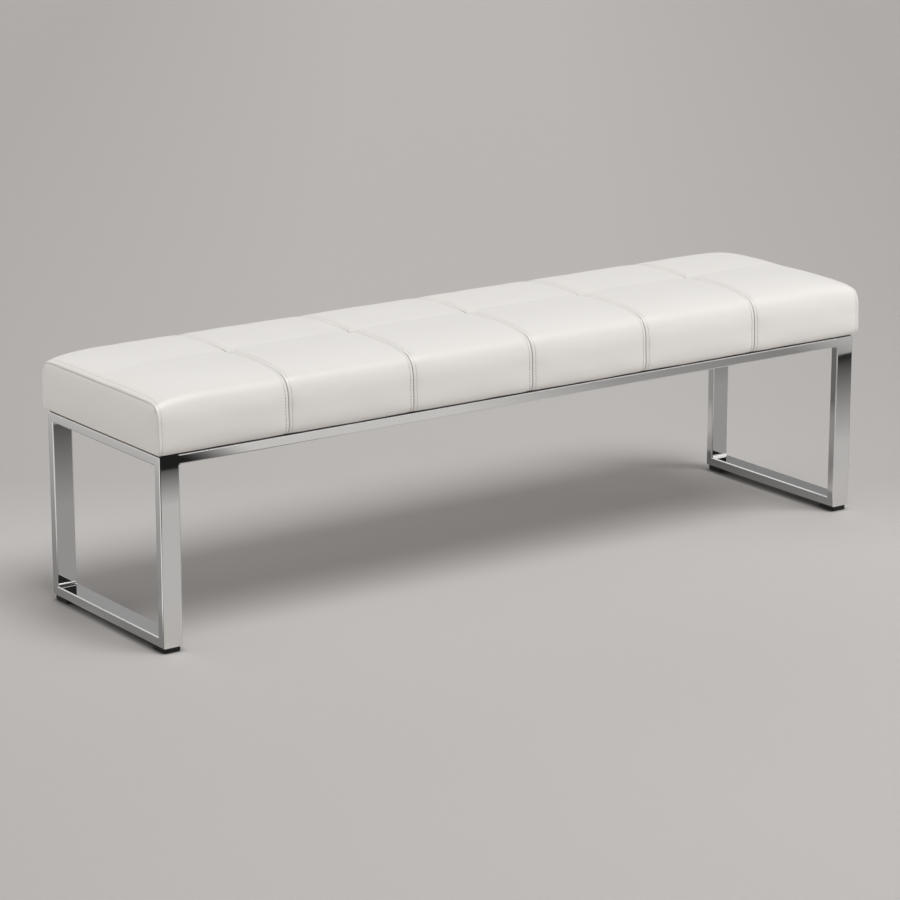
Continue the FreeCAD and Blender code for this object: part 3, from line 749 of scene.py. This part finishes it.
def build_seat():
    leather, thread, hole_shade = leather_material(), thread_material(), hole_shade_material()
    sheets = [Panel(row, column) for row in ("front", "rear") for column in range(COLUMNS)]
    sheets += [EndPanel("left", -1), EndPanel("right", 1)]
    rises = swell(sheets)
    fill_centre(sheets, rises)
    stitches = {}
    for sheet, rise in zip(sheets, rises):
        points, normals, dark = sewn_sheet(sheet, rise)
        rows, columns = points.shape[:2]
        faces = turned_out(points, grid_faces(rows, columns), normals)
        every, shades = points.reshape(-1, 3), dark.ravel()
        if isinstance(sheet, EndPanel):
            fold = end_fold(sheet.side)
            down = np.zeros_like(fold)
            down[..., 2] = -1
            fold_faces = turned_out(fold, grid_faces(*fold.shape[:2]), down) + len(every)
            faces = np.concatenate([faces, fold_faces])
            every = np.concatenate([every, fold.reshape(-1, 3)])
            shades = np.concatenate([shades, np.zeros(fold.shape[0] * fold.shape[1])])
        piece = make_mesh(sheet.name, every, faces)
        # painted shade of the grooves and the end panels' foot, stored as the seam attribute
        shade = piece.data.attributes.new("seam", "FLOAT", "POINT")
        shade.data.foreach_set("value", shades.astype(np.float32))
        thicken(piece, COVER_THICKNESS)
        add_piece(piece, leather, "leather", sheet.node)
        if isinstance(sheet, Panel):
            stop = int(np.searchsorted(sheet.v, TUCK - 6))
            number = round((sheet.left + END_SEAM) / PANEL_LENGTH)
            edges = ((sheet.first, False, number), (sheet.last, True, number + 1))
            for is_end, mirrored, seam in edges:
                inset, clear, opened = CROSS_STITCH, 5.0, CROSS_HOLES[mirrored]
                if is_end:
                    inset, clear, opened = END_STITCH, 0.0, END_HOLES
                k = int(np.argmin(np.abs(sheet.u - (PANEL_LENGTH - inset if mirrored else inset))))
                start = int(np.searchsorted(sheet.v, clear))
                row = stitch_row(points[k, start:], normals[k, start:], stop - start, opened)
                stitches.setdefault(seam, []).append(row)
    for seam, rows in sorted(stitches.items()):
        name = {0: "stitches_left_end", COLUMNS: "stitches_right_end"}.get(seam, f"stitches_cross_{seam}")
        piece = add_piece(thread_mesh(name, rows), thread, "leather")
        piece.data.materials.append(hole_shade)


def build_foam():
    """The crowned block inside the cover."""
    falling = [0.6, 3, 7, 14, 25, 40, 60, 82, END_FALL_LENGTH]
    away = np.concatenate([falling, np.linspace(160, END_SEAM, 12)])
    x = np.concatenate([-END_SEAM + away, (END_SEAM - away)[::-1][1:]])
    controls = section_controls(END_SEAM - np.abs(x), np.zeros_like(x))
    places = np.linspace(0, SECTION_KNOTS[6], 40)
    half = np.einsum("vk,ukc->uvc", spline_basis(SECTION_KNOTS, places), controls)
    half = half - np.array([0.0, SEAM_DIP + FOAM_GAP])
    narrowed = half[..., 0] * (FOAM_HALF_DEPTH / (HALF_DEPTH - SEAM_PULL))
    half[..., 0] = np.minimum(narrowed, FOAM_HALF_DEPTH)
    foot = np.stack([half[:, -1, 0], np.full(len(x), BOARD_TOP)], axis=-1)
    half = np.concatenate([half, foot[:, None]], axis=1)
    loop = np.concatenate([half[:, ::-1] * np.array([-1, 1]), half[:, 1:]], axis=1)
    points = np.concatenate([np.broadcast_to(x[:, None, None], (*loop.shape[:2], 1)), loop], axis=-1)
    rows, columns = points.shape[:2]
    index = np.arange(rows * columns).reshape(rows, columns)
    floor = [[int(a), int(b), int(c), int(d)] for a, b, c, d in
             zip(index[:-1, 0], index[:-1, -1], index[1:, -1], index[1:, 0])]
    faces = grid_faces(rows, columns).tolist() + floor + [index[0].tolist(), index[-1, ::-1].tolist()]
    piece = add_piece(make_mesh("foam_block", points, faces), foam_material(), "foam", "foam_core")


def build_dust_cover():
    """Thin black cloth under the board, sagging between the frame's tubes, with a hem turned up all round."""
    half_length, half_depth = FRAME_HALF_LENGTH - DUST_INSET, FRAME_HALF_DEPTH - DUST_INSET
    x, y = (dust_places(half) for half in (half_length, half_depth))
    loop_inner, rail_inner = FRAME_HALF_LENGTH - TUBE_WIDTH, FRAME_HALF_DEPTH - TUBE_WIDTH
    brace_inner, brace_outer = BRACE_PLACE - TUBE_WIDTH / 2, BRACE_PLACE + TUBE_WIDTH / 2
    sag = np.zeros((len(x), len(y)))
    for low, high in ((-loop_inner, -brace_outer), (-brace_inner, brace_inner), (brace_outer, loop_inner)):
        along = np.clip((x - low) / (high - low), 0, 1)
        across = np.clip((y + rail_inner) / (2 * rail_inner), 0, 1)
        sag += DUST_SAG * (np.sin(np.pi * along) ** 0.6)[:, None] * (np.sin(np.pi * across) ** 0.8)[None, :]
    points = np.empty((len(x), len(y), 3))
    points[..., 0], points[..., 1], points[..., 2] = x[:, None], y[None, :], FRAME_TOP + DUST_LIFT - sag
    hem = np.ones(sag.shape, bool)
    hem[1:-1, 1:-1] = False
    points[hem, 2] = FOLD_BOTTOM - DUST_GAP
    faces = grid_faces(len(x), len(y))
    middles = points.reshape(-1, 3)[faces].mean(axis=1)
    bolts = [(a, b) for a in (-BRACE_PLACE, BRACE_PLACE) for b in (-BOLT_PLACE, BOLT_PLACE)]
    from_bolt = np.min([np.hypot(middles[:, 0] - a, middles[:, 1] - b) for a, b in bolts], axis=0)
    piece = make_mesh("dust_sheet", points, faces[from_bolt > BOLT_CLEARANCE])
    thicken(piece, DUST_THICKNESS, 0.0)
    add_piece(piece, dust_cloth_material(), "dust_cloth", "dust_cover")


def dust_places(half):
    """Even places over the dust cover, with close ones at its edges for the hem's bend."""
    even = half - DUST_MARGIN
    middle = np.linspace(-even, even, int(2 * even / DUST_STEP) + 1)
    return np.concatenate([[-half, -half + DUST_BEND], middle, [half - DUST_BEND, half]])


def dress_frame():
    looks = {"chromed_steel": chrome_material(), "glide_plastic": glide_material(),
             "zinc_steel": zinc_material(), "plywood": plywood_material()}
    for part in frame["record"]["subparts"]:
        look = looks.get(part["material_slot"])
        if look:
            materials = frame["nodes"][part["node"]].data.materials
            materials.clear()
            materials.append(look)


# Studio
def ramp(tree, value, from_low, from_high, low=0.0, high=1.0):
    """A clamped ramp of one node's output."""
    node = tree.nodes.new("ShaderNodeMapRange")
    for key, entry in (("From Min", from_low), ("From Max", from_high), ("To Min", low), ("To Max", high)):
        node.inputs[key].default_value = entry
    tree.links.new(value, node.inputs["Value"])
    return node.outputs["Result"]


def sums(tree, operation, *values):
    """Two or more values put together by one kind of sum."""
    result = values[0]
    for value in values[1:]:
        node = tree.nodes.new("ShaderNodeMath")
        node.operation = operation
        for socket, entry in zip(node.inputs, (result, value)):
            if isinstance(entry, (int, float)):
                socket.default_value = entry
            else:
                tree.links.new(entry, socket)
        result = node.outputs[0]
    return result


def mixed(tree, share, first, second):
    node = tree.nodes.new("ShaderNodeMixShader")
    for socket, entry in zip(node.inputs, (share, first, second)):
        tree.links.new(entry, socket)
    return node.outputs[0]


def patch(tree, *limits):
    """Where every value is past its limits: each is (value, from, to), a soft edge from nothing to all."""
    return sums(tree, "MULTIPLY", *(ramp(tree, *limit) for limit in limits))


def slanted(tree, x, y, slope, start):
    """Distance of a floor place behind a slanted line through the point start, along y."""
    return sums(tree, "ADD", y, sums(tree, "MULTIPLY", x, slope), -start[1] - slope * start[0])


def between(tree, first, second, share):
    """A value that goes from the first to the second."""
    node = tree.nodes.new("ShaderNodeMix")
    for key, entry in (("A", first), ("B", second), ("Factor", share)):
        socket = node.inputs[key]
        if isinstance(entry, (int, float)):
            socket.default_value = entry
        else:
            tree.links.new(entry, socket)
    return node.outputs["Result"]


def painted_reflections(tree, x, y):
    """Painted reflections that the chrome mirrors of the floor round the bench: grey paper with light and
    dark cards, and where.

    Each card is a patch of the floor that glows with its own tone in glossy rays only; the later ones lie on
    top. Slanted edges follow the rays that reach the camera over a leg's faces, so that an edge shows level
    or upright on the leg."""
    before_left_leg = slanted(tree, x, y, 1.63, LEFT_LEG)
    before_right_leg = slanted(tree, x, y, 1.125, RIGHT_LEG)
    beside_left_leg = slanted(tree, x, y, -0.7, LEFT_SIDE)
    behind_right_loop = slanted(tree, x, y, 1.11, RIGHT_SIDE)
    under = sums(
        tree, "MAXIMUM",
        *(patch(tree, (line, 0.09, 0.21), (line, 0.69, 0.59), (y, -1.0, -0.9), (y, 0.2, 0.1))
          for line in (before_left_leg, before_right_leg)),
    )
    under = sums(tree, "MULTIPLY", under, ramp(tree, x, -0.8, -0.72))
    behind = patch(tree, (y, 0.05, 0.45), (x, 0.55, 0.35), (x, -0.75, -0.65))
    left = ramp(tree, x, -0.75, -0.757)
    white = patch(tree, (x, -0.85, -1.0), (beside_left_leg, -0.05, 0.0), (y, 0.1, -0.1))
    black = sums(
        tree, "MAXIMUM",
        patch(tree, (before_left_leg, -0.07, -0.11), (beside_left_leg, 0.0, -0.05), (y, -0.7, -0.95)),
        patch(tree, (y, -1.165, -1.175), (x, 0.03, -0.09)),
        patch(tree, (y, -1.132, -1.124), (y, -0.55, -1.12), (x, 1.0, 1.1)),
    )
    right_bar = patch(tree, (x, 0.59, 0.63), (x, 0.72, 0.715), (y, -0.25, -0.2), (y, 0.4, 0.3))
    left_tone = between(tree, ramp(tree, x, -0.76, -1.3, 0.2, 0.42), 0.6, ramp(tree, x, -1.3, -1.45))
    rail_tone = between(tree, ramp(tree, x, 0.58, 1.0, 0.61, 0.335), 0.25, ramp(tree, x, 1.0, 1.45))
    rail_tone = between(tree, rail_tone, 0.47, ramp(tree, x, 1.5, 1.68))
    tone = between(tree, 0.51, rail_tone, ramp(tree, y, -1.06, -1.1))
    for card_tone, card in (
        (ramp(tree, y, -1.165, -0.95, 0.1, 0.51), ramp(tree, x, 0.06, -0.1)),
        (left_tone, left),
        (ramp(tree, y, -0.95, -0.35, 0.06, 0.32), under),
        (ramp(tree, behind_right_loop, -0.05, 0.05, 0.14, 0.3), behind),
        (ramp(tree, y, 0.25, -0.15, 0.115, 0.215), right_bar),
        (1.0, white),
        (0.015, black),
    ):
        tone = between(tree, tone, card_tone, card)
    front = ramp(tree, y, -0.3, -0.45)
    return tone, sums(tree, "MAXIMUM", front, left, under, behind, right_bar)


def floor_paper(material, x, y):
    """Paper colour with painted light: lighter near the bench and before it, a painted contact shadow under
    the loops' bottom bars.

    The painted contact shadow is bounded by squares of the distances from the bench's middle and long axis."""
    tree = material.node_tree
    back = slanted(tree, x, y, 0.67, (0.0, 0.0))
    aside = slanted(tree, x, y, -1.42, (0.0, 0.0))
    # painted light: the paper is lighter in a middle band and near the bench, darker far off and to the sides
    middle = patch(tree, (aside, -2.4, -0.6), (aside, 2.4, 0.6))
    paper = blend_colours(material, middle, (0.42, 0.402, 0.389), (0.487, 0.466, 0.451))
    near = patch(tree, (back, 0.6, 0.0), (x, -2.0, -0.4))
    paper = blend_colours(material, near, paper, (0.553, 0.53, 0.514))
    from_middle, from_axis = (sums(tree, "MULTIPLY", place, place) for place in (x, y))
    # painted contact shadow close under each loop's bottom bar
    contact = patch(tree, (from_middle, 0.49, 0.522), (from_middle, 0.575, 0.545), (from_axis, 0.037, 0.03))
    return blend_colours(material, sums(tree, "MULTIPLY", contact, 0.85), paper, (0.04, 0.04, 0.04))


def build_floor():
    reach = FLOOR_REACH / MM
    corners = np.array([(-reach, -reach, 0), (reach, -reach, 0), (reach, reach, 0), (-reach, reach, 0)])
    floor = make_mesh("studio_floor", corners, [[0, 1, 2, 3]])
    material, shader = new_material("floor_paper", (0.57, 0.546, 0.53), 0.85)
    shader.inputs["Specular IOR Level"].default_value = 0.15
    tree = material.node_tree
    geometry = tree.nodes.new("ShaderNodeNewGeometry")
    axes = tree.nodes.new("ShaderNodeSeparateXYZ")
    tree.links.new(geometry.outputs["Position"], axes.inputs[0])
    x, y = axes.outputs["X"], axes.outputs["Y"]
    plug(material, shader.inputs["Base Color"], floor_paper(material, x, y))
    # painted reflections: the floor glows with the cards' tones in glossy rays only, where the cards lie
    cards = tree.nodes.new("ShaderNodeEmission")
    cards.inputs["Color"].default_value = (1.0, 0.975, 0.955, 1)
    tone, where = painted_reflections(tree, x, y)
    tree.links.new(tone, cards.inputs["Strength"])
    glossy = tree.nodes.new("ShaderNodeLightPath").outputs["Is Glossy Ray"]
    top = mixed(tree, sums(tree, "MULTIPLY", glossy, where), shader.outputs[0], cards.outputs[0])
    clear = tree.nodes.new("ShaderNodeBsdfTransparent").outputs[0]
    surface = mixed(tree, geometry.outputs["Backfacing"], top, clear)
    tree.links.new(surface, tree.nodes["Material Output"].inputs["Surface"])
    floor.data.materials.append(material)


def mirrored_room(tree, x, y, z):
    """What the chrome mirrors of the room: a bright ceiling, a grey wall behind and a dark one in front.

    Two low strips of light, before the right end and behind the left one, draw a bright line on the tubes'
    rounded edges. They leave out the heights that the loops' lower corners mirror, which stay dark."""
    ceiling = ramp(tree, z, 0.3, 0.5, 0.0, 1.15)
    wall = ramp(tree, y, -0.3, 0.4, 0.03, 0.5)
    band = patch(tree, (z, 0.235, 0.25), (z, 0.33, 0.315))
    band = sums(tree, "MULTIPLY", band, ramp(tree, x, 0.48, 0.62, -0.2, -0.4))
    wall = sums(tree, "MULTIPLY", wall, sums(tree, "ADD", band, 1.0))
    corner = (sums(tree, "MULTIPLY", x, y), -0.25, -0.4)
    low_strip = patch(tree, corner, (z, 0.0, 0.03), (z, 0.21, 0.18))
    high_strip = patch(tree, corner, (z, 0.33, 0.36))
    strength = sums(tree, "ADD", ramp(tree, x, -0.1, 0.1, 1.4, 2.1), ramp(tree, x, 0.5, 0.62, 0.0, -1.0))
    strips = sums(tree, "ADD", sums(tree, "MULTIPLY", low_strip, strength),
                  sums(tree, "MULTIPLY", high_strip, 1.15))
    return sums(tree, "MAXIMUM", ceiling, wall, strips)


def build_world():
    """Low soft light from all round, the room that mirrors show, and plain grey past the floor's edge."""
    world = bpy.data.worlds.new("studio")
    bpy.context.scene.world = world
    world.use_nodes = True
    tree = world.node_tree
    tree.nodes.clear()
    path = tree.nodes.new("ShaderNodeLightPath")
    fill, mirror, seen = (tree.nodes.new("ShaderNodeBackground") for _ in range(3))
    fill.inputs["Color"].default_value = (1.0, 0.99, 0.98, 1)
    seen.inputs["Color"].default_value = (0.45, 0.43, 0.416, 1)
    toward = tree.nodes.new("ShaderNodeSeparateXYZ")
    tree.links.new(tree.nodes.new("ShaderNodeTexCoord").outputs["Generated"], toward.inputs[0])
    x, y, z = (toward.outputs[axis] for axis in "XYZ")
    around = sums(tree, "ADD", sums(tree, "MULTIPLY", y, 0.95), 1.25)
    low = ramp(tree, z, 0.3, 0.6, 1.0, 0.12)
    tree.links.new(sums(tree, "MULTIPLY", around, low), fill.inputs["Strength"])
    tree.links.new(mirrored_room(tree, x, y, z), mirror.inputs["Strength"])
    lit = mixed(tree, path.outputs["Is Glossy Ray"], fill.outputs[0], mirror.outputs[0])
    whole = mixed(tree, path.outputs["Is Camera Ray"], lit, seen.outputs[0])
    tree.links.new(whole, tree.nodes.new("ShaderNodeOutputWorld").inputs["Surface"])


def add_light(name, kind, toward, strength, **settings):
    """A lamp that shines from one side of the bench toward its middle."""
    lamp = bpy.data.lights.new(name, kind)
    lamp.energy = strength
    for key, value in settings.items():
        setattr(lamp, key, value)
    item = bpy.data.objects.new(name, lamp)
    item.location = toward
    item.rotation_euler = Vector(toward).to_track_quat("Z", "Y").to_euler()
    item.visible_glossy = kind == "SUN"
    bpy.context.scene.collection.objects.link(item)


def build_camera():
    lens = bpy.data.cameras.new("camera")
    lens.sensor_width = SENSOR
    lens.lens = LENS
    camera = bpy.data.objects.new("camera", lens)
    eye, aim = Vector(EYE), Vector(AIM)
    camera.location = eye
    camera.rotation_euler = (aim - eye).to_track_quat("-Z", "Y").to_euler()
    bpy.context.scene.collection.objects.link(camera)
    bpy.context.scene.camera = camera


bpy.context.scene.view_settings.view_transform = "Standard"
dress_frame()
build_seat()
build_foam()
build_dust_cover()
build_floor()
build_world()
add_light("key", "SUN", (0.12, -0.40, 0.90), 1.96, angle=math.radians(33))
add_light("right_fill", "AREA", (2.3, -1.7, 0.8), 4.0, shape="DISK", size=0.9, spread=math.radians(100))
build_camera()
